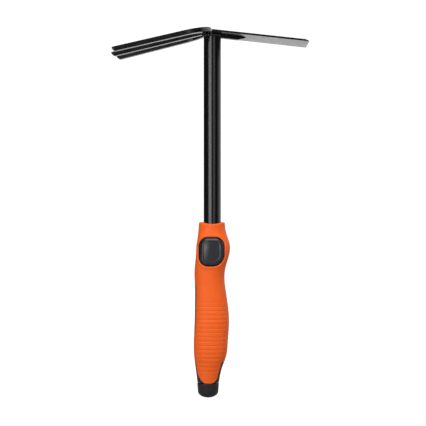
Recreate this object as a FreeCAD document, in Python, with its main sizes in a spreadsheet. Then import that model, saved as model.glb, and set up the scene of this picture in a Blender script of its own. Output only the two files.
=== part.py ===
"""Hand hoe with a three-tine fork and a flat blade on a plug-in shaft, in millimetres.

+Z runs up the tool from the pommel to the head, -X towards the fork, +X towards the blade, and -Y is the
side with the release button. Everything is drawn about the shaft's axis, and each sub-part's Placement then
carries it to the tool's own origin, the middle of the pommel's flat end.
"""

import FreeCAD, Part
import math
import os

from FreeCAD import Placement, Rotation, Vector

SIZES = {
    # shaft tube, and how far it stands off the pommel's axis
    "shaftOffset": 4.4,
    "tubeRadius": 9.0,
    "tubeWall": 1.5,
    "tubeFoot": 97.0,
    "runningGap": 0.05,
    "bodyGap": 0.35,
    # fork: a bar bent into a bow for the outer tines, and a straight bar for the middle one
    "barWidth": 7.0,
    "barThickness": 5.0,
    "bowRadius": 29.0,
    "bowCrown": -0.3,
    "forkHeight": 384.1,
    "forkSlope": 13.6,
    "tineSplay": 4.6,
    "outerTineReach": 102.4,
    "middleTineReach": 105.2,
    "tineTipBevel": 2.6,
    "tineTipThickness": 2.4,
    "buttGap": 0.3,
    # blade
    "bladeHeight": 379.4,
    "bladeSlope": 6.2,
    "bladeThickness": 2.0,
    "bladeRootWidth": 48.0,
    "bladeTipWidth": 50.0,
    "bladeReach": 99.4,
    "bladeEdgeBevel": 4.0,
    "bladeEdgeThickness": 0.5,
    "bladeCornerRound": 2.0,
    "ribReach": 35.0,
    "ribTaper": 8.0,
    "ribDepth": 3.3,
    "ribWidth": 7.0,
    "ribNose": 0.6,
    "weldRadius": 1.7,
    "weldDrop": 3.4,
    # plug that closes the tube's foot
    "plugFlange": 2.0,
    "plugStem": 10.0,
    "plugInset": 0.3,
    # handle shell
    "mouthHeight": 182.0,
    "lipThickness": 2.0,
    "skinThickness": 1.8,
    "boreRadius": 9.4,
    "socketFloor": 94.6,
    "bushRadius": 10.1,
    "bushLength": 10.0,
    "upperBushFoot": 167.4,
    "lowerBushFoot": 97.4,
    "sealWire": 0.9,
    "cavityRadius": 10.0,
    "cavityFoot": 45.0,
    "cavityTop": 80.0,
    "palmFoot": 64.5,
    "palmTop": 121.0,
    "palmWidth": 13.5,
    "tongueCentre": -3.9,
    "tongueTop": 33.0,
    "tongueHalfWidth": 12.8,
    "tongueLength": 18.8,
    "tailTop": 37.0,
    "screwRadius": 1.25,
    "screwHeadRadius": 2.3,
    "screwHeadHeight": 1.8,
    "screwHeadGap": 0.15,
    "screwSeat": 4.8,
    "screwTip": 7.0,
    "screwLeft": -12.5,
    "screwRight": 10.8,
    "screwHigh": 124.0,
    "screwMiddle": 88.0,
    "screwLow": 36.0,
    # button and lock
    "buttonHeight": 151.5,
    "buttonCentre": -0.75,
    "buttonWidth": 25.0,
    "buttonLength": 28.2,
    "buttonCorner": 8.5,
    "buttonLowCorner": 11.5,
    "buttonProud": 0.9,
    "buttonBack": 12.7,
    "buttonTravel": 2.6,
    "buttonGap": 0.35,
    "bezelWall": 0.7,
    "bezelInset": 0.25,
    "bezelBack": 9.8,
    "sleeveWall": 1.0,
    "sleeveLength": 25.0,
    "pinRadius": 3.0,
    "pinTip": 11.6,
    "pinGap": 0.15,
    "springRadius": 6.5,
    "springThickness": 0.4,
    "springWidth": 4.0,
    "springSpan": 9.2,
    "springCrown": 13.3,
    "springRest": 0.05,
    "plungerRadius": 2.6,
    "plungerRoot": 15.0,
    "hookInner": 10.8,
    "hookWall": 0.9,
    "hookBarb": 0.6,
    "hookWidth": 8.0,
    "hookEnd": 3.2,
    "hookLedge": 6.55,
    "hookRoot": 13.2,
    "hookPocketEnd": 0.2,
    "clipWidth": 8.0,
    "clipThickness": 0.8,
    "clipHalfGap": 6.2,
    "clipBend": 119.0,
    "clipFrontTop": 160.0,
    "clipBackTop": 150.0,
    # pommel
    "pommelTop": 14.9,
    "pommelRadius": 11.4,
    "pommelBellyRadius": 10.7,
    "pommelBelly": 6.2,
    "pommelFlat": 3.7,
    "spigotRadius": 7.0,
    "spigotTop": 26.0,
    "spigotGap": 0.05,
    "spigotPocketTop": 30.0,
}

# Sections of the handle from mouth to tail: height, centre in X, half width in X, half depth in Y, squareness
STATIONS = {
    "mouth": (182.0, -0.4, 13.4, 13.2, 2.0),
    "collar": (172.0, -0.2, 14.4, 14.0, 2.2),
    "guard": (158.0, 1.0, 17.3, 16.4, 3.0),
    "shoulder": (146.0, -0.1, 17.1, 16.6, 3.2),
    "waist": (131.0, -2.7, 15.8, 15.4, 2.5),
    "neck": (117.0, -2.5, 15.7, 15.0, 2.3),
    "palm": (100.0, -1.2, 16.9, 15.7, 2.3),
    "belly": (79.0, -0.5, 18.0, 16.5, 2.4),
    "heel": (58.0, -1.5, 17.8, 16.3, 2.4),
    "wrist": (43.0, -2.2, 16.8, 15.4, 2.3),
    "taper": (31.0, -3.6, 14.0, 13.2, 2.2),
    "tail": (15.5, -4.3, 11.4, 11.3, 2.0),
}
STATION_KEYS = ("Height", "Centre", "HalfWidth", "HalfDepth", "Squareness")
SECTION_POINTS = 24
SEAM_TURN = math.pi / 4  # keeps the form's seam off the plane where the shells part
FAR = 400.0  # beyond the tool's far side
LOW = str(-FAR / 2)

SLEEVE_RADIUS = "Sizes.boreRadius + Sizes.sleeveWall"
SLEEVE_FOOT = "Sizes.buttonHeight - Sizes.sleeveLength / 2"
SEAL_RING = "Sizes.tubeRadius + Sizes.runningGap + Sizes.sealWire"
SEAL_HEIGHT = "Sizes.mouthHeight - Sizes.lipThickness - Sizes.sealWire"
POMMEL_X = "-Sizes.shaftOffset"
PIN_HOLE = "Sizes.pinRadius + Sizes.pinGap"
SPIGOT_POCKET = "Sizes.spigotRadius + Sizes.spigotGap"
CORE_FRONT = "-Sizes.bezelBack"

doc = FreeCAD.newDocument("HandHoe")
sheet = doc.addObject("Spreadsheet::Sheet", "Sizes")
subparts = []


def fill_sheet():
    rows = dict(SIZES)
    for station, values in STATIONS.items():
        for key, value in zip(STATION_KEYS, values):
            rows[station + key] = value
    for number, (alias, value) in enumerate(rows.items(), start=1):
        sheet.set(f"A{number}", alias)
        sheet.set(f"B{number}", str(value))
        sheet.setAlias(f"B{number}", alias)
    doc.recompute()


def size(alias):
    """The number in the sheet's cell."""
    return float(sheet.get(alias))


def bind(obj, **expressions):
    """Binds properties to the sheet; in a name, __ stands for a dot."""
    for name, text in expressions.items():
        obj.setExpression(name.replace("__", "."), text)
    return obj


def cylinder(name, radius, height, z="0", x="0", y="0"):
    """An upright cylinder whose foot is at x, y, z."""
    obj = doc.addObject("Part::Cylinder", name)
    bind(obj, Radius=radius, Height=height)
    return bind(obj, Placement__Base__x=x, Placement__Base__y=y, Placement__Base__z=z)


def cross_cylinder(name, radius, length, x, y, z):
    """A cylinder along +Y from y."""
    obj = cylinder(name, radius, length, z, x, y)
    obj.Placement.Rotation = Rotation(Vector(1, 0, 0), -90)
    return obj


def box(name, length, width, height, x, y, z):
    """A box from its low corner."""
    obj = doc.addObject("Part::Box", name)
    bind(obj, Length=length, Width=width, Height=height)
    return bind(obj, Placement__Base__x=x, Placement__Base__y=y, Placement__Base__z=z)


def torus(name, ring, wire, z):
    obj = doc.addObject("Part::Torus", name)
    bind(obj, Radius1=ring, Radius2=wire)
    return bind(obj, Placement__Base__z=z)


def fuse(name, *pieces):
    obj = doc.addObject("Part::MultiFuse", name)
    obj.Shapes = list(pieces)
    obj.Refine = True
    return obj


def cut(name, base, *tools):
    obj = doc.addObject("Part::Cut", name)
    obj.Base = base
    obj.Tool = tools[0] if len(tools) == 1 else fuse(name + "_tools", *tools)
    obj.Refine = False
    return obj


def common(name, first, second):
    obj = doc.addObject("Part::Common", name)
    obj.Base = first
    obj.Tool = second
    obj.Refine = False
    return obj


def feature(name, shape):
    """A shape that neither a primitive nor a sketch gives, such as a lofted form."""
    obj = doc.addObject("Part::Feature", name)
    obj.Shape = shape
    return obj


def subpart(label, obj):
    """Names a finished piece and carries it from the shaft's axis to the tool's origin."""
    obj.Label = label
    bind(obj, Placement__Base__x="Sizes.shaftOffset")
    subparts.append(obj)


def polygon(points, height):
    """An upright prism from the outline's points in X and Y, which are Vectors at its foot."""
    wire = Part.makePolygon(points + [points[0]])
    return Part.Face(wire).extrude(Vector(0, 0, height))


def tilted(shape, slope, height):
    """A flat shape drawn at z = 0, tilted about Y and lifted onto the shaft's axis."""
    shape.Placement = Placement(Vector(0, 0, height), Rotation(Vector(0, 1, 0), slope))
    return shape


# Fork -----------------------------------------------------------------------------------------------------


def bevelled_bar(start, reach):
    """A bar along -X with its top at z = 0; the tip is narrowed and its underside cut back."""
    half, thickness = size("barWidth") / 2, size("barThickness")
    bevel, tip = size("tineTipBevel"), size("tineTipThickness")
    neck = reach - bevel
    nose = half - bevel / 2
    plan = [
        Vector(-start, -half, -thickness),
        Vector(-neck, -half, -thickness),
        Vector(-reach, -nose, -thickness),
        Vector(-reach, nose, -thickness),
        Vector(-neck, half, -thickness),
        Vector(-start, half, -thickness),
    ]
    bar = polygon(plan, thickness)
    heel = [
        Vector(-neck, -half, -thickness),
        Vector(-neck, -half, -2 * thickness),
        Vector(-reach, -half, -2 * thickness),
        Vector(-reach, -half, -tip),
    ]
    under = Part.Face(Part.makePolygon(heel + [heel[0]])).extrude(Vector(0, 2 * half, 0))
    return bar.cut(under)


def outer_tines():
    """The bow over the tube's top and the two tines that leave it, splayed a little."""
    width, thickness = size("barWidth"), size("barThickness")
    ring, splay = size("bowRadius"), size("tineSplay")
    centre = Vector(size("bowCrown") - ring - width / 2, 0, -thickness)
    bow = Part.makeCylinder(ring + width / 2, thickness, centre)
    bow = bow.cut(Part.makeCylinder(ring - width / 2, thickness, centre))
    tines = []
    for side in (-1, 1):
        turn = Rotation(Vector(0, 0, 1), -side * splay)
        root = centre + turn.multVec(Vector(0, side * ring, thickness))
        # what lies behind the tangent point is the tine, not the bow
        far = 3 * ring
        behind = Part.makeBox(far, far, thickness, Vector(-far, -far / 2, -thickness))
        behind.Placement = Placement(root, turn)
        bow = bow.cut(behind)
        reach = size("outerTineReach") / math.cos(math.radians(size("forkSlope"))) + root.x
        tine = bevelled_bar(0, reach)
        tine.Placement = Placement(root, turn)
        tines.append(tine)
    fork = bow.multiFuse(tines, 1e-4).removeSplitter()
    return tilted(fork, -size("forkSlope"), size("forkHeight"))


def middle_tine():
    """The straight tine, butted against the inside of the bow."""
    start = size("barWidth") - size("bowCrown") + size("buttGap")
    reach = size("middleTineReach") / math.cos(math.radians(size("forkSlope")))
    return tilted(bevelled_bar(start, reach), -size("forkSlope"), size("forkHeight"))


# Blade ----------------------------------------------------------------------------------------------------


def blade_plate():
    """The flared plate, its front edge ground down from above."""
    root, tip = size("bladeRootWidth") / 2, size("bladeTipWidth") / 2
    thickness, bevel = size("bladeThickness"), size("bladeEdgeBevel")
    start = size("bowCrown")
    reach = size("bladeReach") / math.cos(math.radians(size("bladeSlope")))
    corners = [(start, -root), (reach, -tip), (reach, tip), (start, root)]
    plate = polygon([Vector(x, y, -thickness) for x, y in corners], thickness)
    wedge = [
        Vector(reach - bevel, -FAR / 2, 0),
        Vector(reach - bevel, -FAR / 2, thickness),
        Vector(reach, -FAR / 2, thickness),
        Vector(reach, -FAR / 2, size("bladeEdgeThickness") - thickness),
    ]
    plate = plate.cut(Part.Face(Part.makePolygon(wedge + [wedge[0]])).extrude(Vector(0, FAR, 0)))
    corner_edges = [edge for edge in plate.Edges if is_plate_corner(edge, reach, tip)]
    plate = plate.makeFillet(size("bladeCornerRound"), corner_edges)
    return tilted(plate, size("bladeSlope"), size("bladeHeight"))


def is_plate_corner(edge, reach, half_width):
    """True for the short upright edges at the blade's two front corners."""
    first, last = edge.Vertexes[0].Point, edge.Vertexes[-1].Point
    upright = abs(first.x - last.x) < 0.01 and abs(first.y - last.y) < 0.01
    return upright and abs(first.x - reach) < 0.01 and abs(abs(first.y) - half_width) < 0.01


def rib_bar():
    """The bar under the blade, tapered away at its end."""
    reach, taper = size("ribReach"), size("ribTaper")
    half, top = size("ribWidth") / 2, -size("bladeThickness")
    side = [
        Vector(0, -half, top),
        Vector(reach, -half, top),
        Vector(reach, -half, top - size("ribNose")),
        Vector(reach - taper, -half, top - size("ribDepth")),
        Vector(0, -half, top - size("ribDepth")),
    ]
    bar = Part.Face(Part.makePolygon(side + [side[0]])).extrude(Vector(0, 2 * half, 0))
    return tilted(bar, size("bladeSlope"), size("bladeHeight"))


def above(slope, height, thickness):
    """Everything over the underside of a tilted plate."""
    slab = Part.makeBox(FAR, FAR, FAR, Vector(-FAR / 2, -FAR / 2, -thickness))
    return tilted(slab, slope, height)


def make_head():
    fork = feature("fork_bow", outer_tines())
    middle = feature("fork_middle", middle_tine())
    plate = cut("plate", feature("plate_blank", blade_plate()), fork)
    rib_blank = feature("rib_blank", rib_bar())
    over_fork = feature("over_fork", above(-size("forkSlope"), size("forkHeight"), size("barThickness")))
    over_blade = feature("over_blade", above(size("bladeSlope"), size("bladeHeight"), size("bladeThickness")))
    blank = cylinder("tube_blank", "Sizes.tubeRadius", "Sizes.forkHeight - Sizes.tubeFoot", "Sizes.tubeFoot")
    hollow = cylinder("tube_hollow", "Sizes.tubeRadius - Sizes.tubeWall", str(FAR))
    pin_hole = cross_cylinder("tube_pin_hole", PIN_HOLE, str(FAR), "0", str(-FAR), "Sizes.buttonHeight")
    tube = cut("tube", blank, hollow, over_fork, over_blade, pin_hole)
    around_tube = cylinder("around_tube", "Sizes.tubeRadius", str(FAR))
    rib = cut("rib", rib_blank, around_tube)
    ring = torus("weld_ring", "Sizes.tubeRadius", "Sizes.weldRadius", "Sizes.bladeHeight - Sizes.weldDrop")
    weld = cut("weld", ring, around_tube, over_fork, over_blade, rib_blank)
    subpart("outer_tines", fork)
    subpart("middle_tine", middle)
    subpart("hoe_blade", plate)
    subpart("blade_rib", rib)
    subpart("shaft_tube", tube)
    subpart("head_weld", weld)


def make_plug():
    """The plastic plug that closes the tube's foot."""
    inside = "Sizes.tubeRadius - Sizes.tubeWall"
    flange_radius = "Sizes.tubeRadius - Sizes.plugInset"
    flange = cylinder("plug_flange", flange_radius, "Sizes.plugFlange", "Sizes.tubeFoot - Sizes.plugFlange")
    stem = cylinder("plug_stem", inside, "Sizes.plugStem", "Sizes.tubeFoot - Sizes.plugInset")
    subpart("shaft_end_plug", fuse("plug", flange, stem))


def make_snap_clip():
    """A hairpin spring inside the tube; its front leg carries the lock pin."""
    bend, half_gap = "Sizes.clipBend", "Sizes.clipHalfGap"
    outer = cross_bend("clip_outer", half_gap)
    inner = cross_bend("clip_inner", half_gap + " - Sizes.clipThickness")
    lower = box("clip_lower", str(FAR), str(FAR), bend, str(-FAR / 2), str(-FAR / 2), "0")
    hairpin = common("clip_bend", cut("clip_ring", outer, inner), lower)
    front_leg = clip_leg("clip_front_leg", "-" + half_gap, "Sizes.clipFrontTop")
    back_leg = clip_leg("clip_back_leg", half_gap + " - Sizes.clipThickness", "Sizes.clipBackTop")
    pin_length = f"Sizes.pinTip - {half_gap} + Sizes.clipThickness / 2"
    height = "Sizes.buttonHeight"
    pin = cross_cylinder("clip_pin", "Sizes.pinRadius", pin_length, "0", "-Sizes.pinTip", height)
    subpart("snap_clip", fuse("clip", hairpin, front_leg, back_leg, pin))


def clip_leg(name, y, top):
    """A flat leg that rises from the hairpin's bend."""
    width, foot = "Sizes.clipWidth", "Sizes.clipBend"
    return box(name, width, "Sizes.clipThickness", f"{top} - {foot}", f"-{width} / 2", y, foot)


def cross_bend(name, radius):
    """A short cylinder along X that gives the hairpin's bend."""
    obj = cylinder(name, radius, "Sizes.clipWidth", "Sizes.clipBend", "-Sizes.clipWidth / 2")
    obj.Placement.Rotation = Rotation(Vector(0, 1, 0), 90)
    return obj


# Handle ---------------------------------------------------------------------------------------------------


def section(height, centre, half_width, half_depth, squareness):
    """One rounded cross section of the handle, a superellipse, as a closed wire."""
    points = []
    for step in range(SECTION_POINTS):
        turn = SEAM_TURN + 2 * math.pi * step / SECTION_POINTS
        across, deep = math.cos(turn), math.sin(turn)
        reach = abs(across / half_width) ** squareness + abs(deep / half_depth) ** squareness
        radius = reach ** (-1 / squareness)
        points.append(Vector(centre + radius * across, radius * deep, height))
    curve = Part.BSplineCurve()
    curve.interpolate(Points=points, PeriodicFlag=True, Parameters=list(range(SECTION_POINTS + 1)))
    return Part.Wire(curve.toShape())


def handle_form(inset=0.0):
    """The handle's outer form, or the same form drawn in by a wall's thickness."""
    wires = []
    for station in STATIONS:
        height, centre, half_width, half_depth, squareness = (size(station + key) for key in STATION_KEYS)
        wires.append(section(height, centre, half_width - inset, half_depth - inset, squareness))
    return Part.makeLoft(wires, True, False)


def rounded_window(name, grow, y, depth):
    """A rounded rectangle round the button, as deep as asked, from y; the low corner on +X is rounder."""
    width, length = size("buttonWidth"), size("buttonLength")
    outline = Part.makeBox(
        width + 2 * grow,
        depth,
        length + 2 * grow,
        Vector(size("buttonCentre") - width / 2 - grow, y, size("buttonHeight") - length / 2 - grow),
    )
    for edge in [edge for edge in outline.Edges if abs(edge.tangentAt(edge.FirstParameter).y) > 0.9]:
        place = edge.CenterOfMass
        low = place.x > size("buttonCentre") and place.z < size("buttonHeight")
        corner = size("buttonLowCorner" if low else "buttonCorner")
        outline = outline.makeFillet(corner + grow, [nearest_edge(outline, place)])
    return feature(name, outline)


def nearest_edge(shape, place):
    return min(shape.Edges, key=lambda edge: edge.CenterOfMass.distanceToPoint(place))


def make_shells():
    """The black core in two halves and the orange skin moulded over it."""
    outer = feature("handle_outer", handle_form())
    inner = feature("handle_inner", handle_form(size("skinThickness")))
    lip_foot = "Sizes.mouthHeight - Sizes.lipThickness"
    over_lip = box("over_lip", str(FAR), str(FAR), str(FAR), LOW, LOW, lip_foot)
    inner_cut = cut("handle_inner_cut", inner, over_lip)
    palm, tail = palm_region(), tail_region()
    exposed = common("exposed", outer, fuse("exposed_regions", palm, tail))
    solid = fuse("core_solid", inner_cut, exposed)
    window_grow = size("buttonGap") + size("bezelWall")
    core_window = rounded_window("core_window", window_grow, -FAR, FAR - size("bezelBack"))
    mouth_bore = cylinder("mouth_bore", "Sizes.boreRadius", str(FAR), "Sizes.socketFloor")
    hollows = fuse("core_hollows", core_window, mouth_bore, *core_pockets(), *screw_holes())
    for name, y in (("front_shell", -FAR), ("back_shell", 0.0)):
        half = box(name + "_half", str(FAR), str(FAR), str(FAR), LOW, str(y), "0")
        subpart(name, cut(name + "_hollowed", common(name + "_solid", solid, half), hollows))
    skin_window = rounded_window("skin_window", window_grow, -FAR, FAR - size("bezelBack"))
    skin_bore = cylinder("skin_bore", "Sizes.boreRadius", str(FAR), "Sizes.buttonHeight")
    sleeve = cut("skin_sleeve", outer, inner_cut)
    subpart("grip_skin", cut("skin", sleeve, skin_window, skin_bore, palm, tail))


def palm_region():
    """The stadium on the -X side where the core shows through the skin."""
    foot = box(
        "palm_box",
        str(FAR),
        "Sizes.palmWidth",
        "Sizes.palmTop - Sizes.palmFoot - Sizes.palmWidth",
        str(-FAR),
        "-Sizes.palmWidth / 2",
        "Sizes.palmFoot + Sizes.palmWidth / 2",
    )
    ends = []
    for name, z in (
        ("palm_low", "Sizes.palmFoot + Sizes.palmWidth / 2"),
        ("palm_high", "Sizes.palmTop - Sizes.palmWidth / 2"),
    ):
        end = cylinder(name, "Sizes.palmWidth / 2", str(FAR), z, str(-FAR))
        end.Placement.Rotation = Rotation(Vector(0, 1, 0), 90)
        ends.append(end)
    return fuse("palm_region", foot, *ends)


def tail_region():
    """Below the skin's front and back tongues, where the core runs on to the pommel."""
    block = box("tail_block", str(FAR), str(FAR), "Sizes.tailTop", LOW, LOW, "0")
    centre = Vector(size("tongueCentre"), -FAR / 2, size("tongueTop"))
    lowest = centre - Vector(0, 0, size("tongueLength"))
    widest = centre + Vector(size("tongueHalfWidth"), 0, 0)
    ellipse = Part.Ellipse(lowest, widest, centre)
    tongue = Part.Face(Part.Wire(ellipse.toShape())).extrude(Vector(0, FAR, 0))
    return cut("tail_region", block, feature("tongue", tongue))


def core_pockets():
    """Room in the core for the bushes, the seal, the lock sleeve, the hooks and the pommel's spigot."""
    cavity_height = "Sizes.cavityTop - Sizes.cavityFoot"
    seal_foot = SEAL_HEIGHT + " - Sizes.sealWire"
    spigot_height = "Sizes.spigotPocketTop - Sizes.pommelTop"
    pockets = [
        cylinder("upper_bush_pocket", "Sizes.bushRadius", "Sizes.bushLength", "Sizes.upperBushFoot"),
        cylinder("lower_bush_pocket", "Sizes.bushRadius", "Sizes.bushLength", "Sizes.lowerBushFoot"),
        cylinder("sleeve_pocket", SLEEVE_RADIUS, "Sizes.sleeveLength", SLEEVE_FOOT),
        cylinder("seal_pocket", SEAL_RING + " + Sizes.sealWire", str(FAR), seal_foot),
        cylinder("core_cavity", "Sizes.cavityRadius", cavity_height, "Sizes.cavityFoot", "Sizes.heelCentre"),
        cylinder("spigot_pocket", SPIGOT_POCKET, spigot_height, "Sizes.pommelTop", POMMEL_X),
    ]
    gap = "Sizes.bodyGap"
    inner = f"Sizes.hookInner - {gap}"
    wall = f"Sizes.hookWall + 2 * {gap}"
    barb = f"{wall} + Sizes.hookBarb"
    width = f"Sizes.hookWidth + 2 * {gap}"
    foot = f"Sizes.buttonHeight - Sizes.hookWidth / 2 - {gap}"
    front = CORE_FRONT + " - 2 * " + gap
    back = "-Sizes.hookPocketEnd"
    ledge = "-Sizes.hookLedge"
    for side in (-1, 1):
        pockets.append(side_box(f"hook_slot_{side}", side, inner, wall, width, foot, front, back))
        pockets.append(side_box(f"barb_slot_{side}", side, inner, barb, width, foot, ledge, back))
    return pockets


def side_box(name, side, inner, wall, width, foot, front, back):
    """A box beside the sleeve, on the side of -X or +X, between two places in Y."""
    x = inner if side > 0 else f"-({inner}) - ({wall})"
    return box(name, wall, f"({back}) - ({front})", width, x, front, foot)


def screw_places():
    left, right = "Sizes.screwLeft", "Sizes.screwRight"
    return (
        (left, "Sizes.screwHigh"),
        (left, "Sizes.screwMiddle"),
        (right, "Sizes.screwMiddle"),
        ("Sizes.wristCentre", "Sizes.screwLow"),
    )


def screw_row(name, radius, front, back):
    """One cylinder along Y at each screw's place."""
    return fuse(
        name,
        *(
            cross_cylinder(f"{name}_{number}", radius, f"({back}) - ({front})", x, front, z)
            for number, (x, z) in enumerate(screw_places())
        ),
    )


def make_screws():
    shanks = screw_row("screw_shanks", "Sizes.screwRadius", "-Sizes.screwTip", "Sizes.screwSeat")
    head_top = "Sizes.screwSeat + Sizes.screwHeadHeight"
    heads = screw_row("screw_heads", "Sizes.screwHeadRadius", "Sizes.screwSeat", head_top)
    subpart("shell_screws", fuse("screws", shanks, heads))


def screw_holes():
    """The holes for the screws' shanks and the sunk seats for their heads, open at the back."""
    shanks = screw_row("screw_holes", "Sizes.screwRadius", "-Sizes.screwTip", "Sizes.screwSeat")
    seat_radius = "Sizes.screwHeadRadius + Sizes.screwHeadGap"
    seats = screw_row("screw_seats", seat_radius, "Sizes.screwSeat", str(FAR))
    return shanks, seats


def make_guides():
    """The two bushes, the wiper ring and the lock sleeve that the shaft passes through."""
    running = "Sizes.tubeRadius + Sizes.runningGap"
    for name in ("upper", "lower"):
        foot = f"Sizes.{name}BushFoot"
        blank = cylinder(name + "_bush_blank", "Sizes.bushRadius", "Sizes.bushLength", foot)
        bore = cylinder(name + "_bush_bore", running, str(FAR))
        subpart(name + "_bush", cut(name + "_bush_cut", blank, bore))
    subpart("mouth_seal", torus("seal", SEAL_RING, "Sizes.sealWire", SEAL_HEIGHT))
    sleeve = cylinder("sleeve_blank", SLEEVE_RADIUS, "Sizes.sleeveLength", SLEEVE_FOOT)
    bore = cylinder("sleeve_bore", "Sizes.boreRadius", str(FAR))
    hole = cross_cylinder("sleeve_hole", PIN_HOLE, str(FAR), "0", str(-FAR), "Sizes.buttonHeight")
    subpart("lock_sleeve", cut("sleeve", sleeve, bore, hole))


# Button ---------------------------------------------------------------------------------------------------


def make_bezel():
    """The thin black frame that lines the window round the button."""
    form = feature("bezel_form", handle_form(size("bezelInset")))
    depth = FAR - size("bezelBack")
    outer = rounded_window("bezel_outer", size("buttonGap") + size("bezelWall"), -FAR, depth)
    inner = rounded_window("bezel_inner", size("buttonGap"), -FAR, depth + 1)
    subpart("button_bezel", cut("bezel", common("bezel_blank", form, outer), inner))


def make_button():
    """A cap that follows the handle's form, with a plunger and two barbed hooks."""
    form = feature("button_form", handle_form(-size("buttonProud")))
    cap = common("button_cap", form, rounded_window("button_outline", 0.0, -FAR, FAR - size("buttonBack")))
    clear_radius = SLEEVE_RADIUS + " + Sizes.buttonTravel + Sizes.bodyGap"
    hollowed = cut("button_hollowed", cap, cylinder("button_clearance", clear_radius, str(FAR)))
    back = "-Sizes.pinTip - Sizes.bodyGap"
    plunger_length = f"({back}) + Sizes.plungerRoot"
    plunger = cross_cylinder(
        "plunger", "Sizes.plungerRadius", plunger_length, "0", "-Sizes.plungerRoot", "Sizes.buttonHeight"
    )
    hooks = []
    inner, wall, width = "Sizes.hookInner", "Sizes.hookWall", "Sizes.hookWidth"
    foot = "Sizes.buttonHeight - Sizes.hookWidth / 2"
    barb_front = "-Sizes.hookLedge + Sizes.bodyGap"
    end = "-Sizes.hookEnd"
    for side in (-1, 1):
        hooks.append(side_box(f"hook_{side}", side, inner, wall, width, foot, "-Sizes.hookRoot", end))
        barb = wall + " + Sizes.hookBarb"
        hooks.append(side_box(f"barb_{side}", side, inner, barb, width, foot, barb_front, end))
    subpart("release_button", fuse("button", hollowed, plunger, *hooks))


def make_springs():
    """Two arched leaf springs, above and below the plunger, between the core's floor and the button."""
    rest = f"-{FAR} - Sizes.bezelBack - Sizes.springRest"
    above_floor = box("above_floor", str(FAR), str(FAR), str(FAR), LOW, rest, "0")
    arches = []
    for side in (-1, 1):
        foot = f"Sizes.buttonHeight + {side} * Sizes.springSpan - Sizes.springWidth / 2"
        middle = "Sizes.springRadius - Sizes.springCrown"
        inner_radius = "Sizes.springRadius - Sizes.springThickness"
        outer = cylinder(f"arch_outer_{side}", "Sizes.springRadius", "Sizes.springWidth", foot, "0", middle)
        inner = cylinder(f"arch_inner_{side}", inner_radius, "Sizes.springWidth", foot, "0", middle)
        arches.append(common(f"arch_{side}", cut(f"arch_ring_{side}", outer, inner), above_floor))
    subpart("button_springs", fuse("springs", *arches))


# Pommel ---------------------------------------------------------------------------------------------------


def make_pommel():
    """A domed cap with a flat end and a spigot that plugs into the core."""
    side = doc.addObject("Part::Cone", "pommel_side")
    bind(side, Radius1="Sizes.pommelBellyRadius", Radius2="Sizes.pommelRadius")
    bind(side, Height="Sizes.pommelTop - Sizes.pommelBelly", Placement__Base__z="Sizes.pommelBelly")
    bind(side, Placement__Base__x=POMMEL_X)
    dome = doc.addObject("Part::Ellipsoid", "pommel_dome")
    dome.Angle1, dome.Angle2 = -90, 0
    bind(dome, Radius1="Sizes.pommelBelly / sqrt(1 - (Sizes.pommelFlat / Sizes.pommelBellyRadius)^2)")
    bind(dome, Radius2="Sizes.pommelBellyRadius", Radius3="Sizes.pommelBellyRadius")
    bind(dome, Placement__Base__x=POMMEL_X, Placement__Base__z="Sizes.pommelBelly")
    over_floor = cylinder("over_floor", "Sizes.pommelRadius", "Sizes.pommelBelly", "0", POMMEL_X)
    spigot_height = "Sizes.spigotTop - Sizes.pommelTop"
    spigot = cylinder("spigot", "Sizes.spigotRadius", spigot_height, "Sizes.pommelTop", POMMEL_X)
    subpart("pommel_cap", fuse("pommel", common("pommel_end", dome, over_floor), side, spigot))


# Everything -----------------------------------------------------------------------------------------------


def check_and_write():
    doc.recompute()
    failed = [obj.Name for obj in doc.Objects if "Invalid" in obj.State or "Error" in obj.State]
    if failed:
        raise RuntimeError(f"objects that failed: {failed}")
    for obj in subparts:
        if obj.Shape.isNull() or not obj.Shape.isValid():
            raise RuntimeError(f"{obj.Label} has no valid shape")
    os.makedirs("parts", exist_ok=True)
    for obj in subparts:
        obj.Shape.exportStep(f"parts/{obj.Label}.step")
        extent = obj.Shape.optimalBoundingBox(False)
        print(f"{obj.Label:16s} {len(obj.Shape.Solids)} solid(s) {obj.Shape.Volume:10.1f} mm3  {extent}")


fill_sheet()
make_head()
make_plug()
make_snap_clip()
make_shells()
make_screws()
make_guides()
make_bezel()
make_button()
make_springs()
make_pommel()
check_and_write()
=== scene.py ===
import math

import bmesh
import bpy
import numpy as np
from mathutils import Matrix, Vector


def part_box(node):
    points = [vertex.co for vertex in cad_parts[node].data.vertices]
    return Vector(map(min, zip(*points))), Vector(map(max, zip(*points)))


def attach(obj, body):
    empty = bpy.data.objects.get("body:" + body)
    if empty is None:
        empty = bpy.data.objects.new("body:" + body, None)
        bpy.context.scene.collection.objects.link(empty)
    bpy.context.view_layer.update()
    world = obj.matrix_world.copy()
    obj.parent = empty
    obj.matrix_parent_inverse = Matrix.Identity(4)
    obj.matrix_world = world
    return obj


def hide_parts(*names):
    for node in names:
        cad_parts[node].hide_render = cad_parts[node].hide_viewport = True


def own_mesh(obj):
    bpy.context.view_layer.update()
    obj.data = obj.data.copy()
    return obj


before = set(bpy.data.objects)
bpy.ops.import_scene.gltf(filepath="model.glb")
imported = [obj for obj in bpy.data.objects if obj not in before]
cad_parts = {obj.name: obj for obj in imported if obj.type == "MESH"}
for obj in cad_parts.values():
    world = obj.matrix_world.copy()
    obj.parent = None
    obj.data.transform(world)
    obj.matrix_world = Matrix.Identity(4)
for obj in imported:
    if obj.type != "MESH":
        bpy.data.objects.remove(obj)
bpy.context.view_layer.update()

# The hand hoe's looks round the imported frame. Sizes are in millimetres, drawn about the shaft's axis as the
# CAD parts are, and to_row carries points to the frame's own origin in metres.
MM = 0.001
TAU = 2 * math.pi

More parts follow.
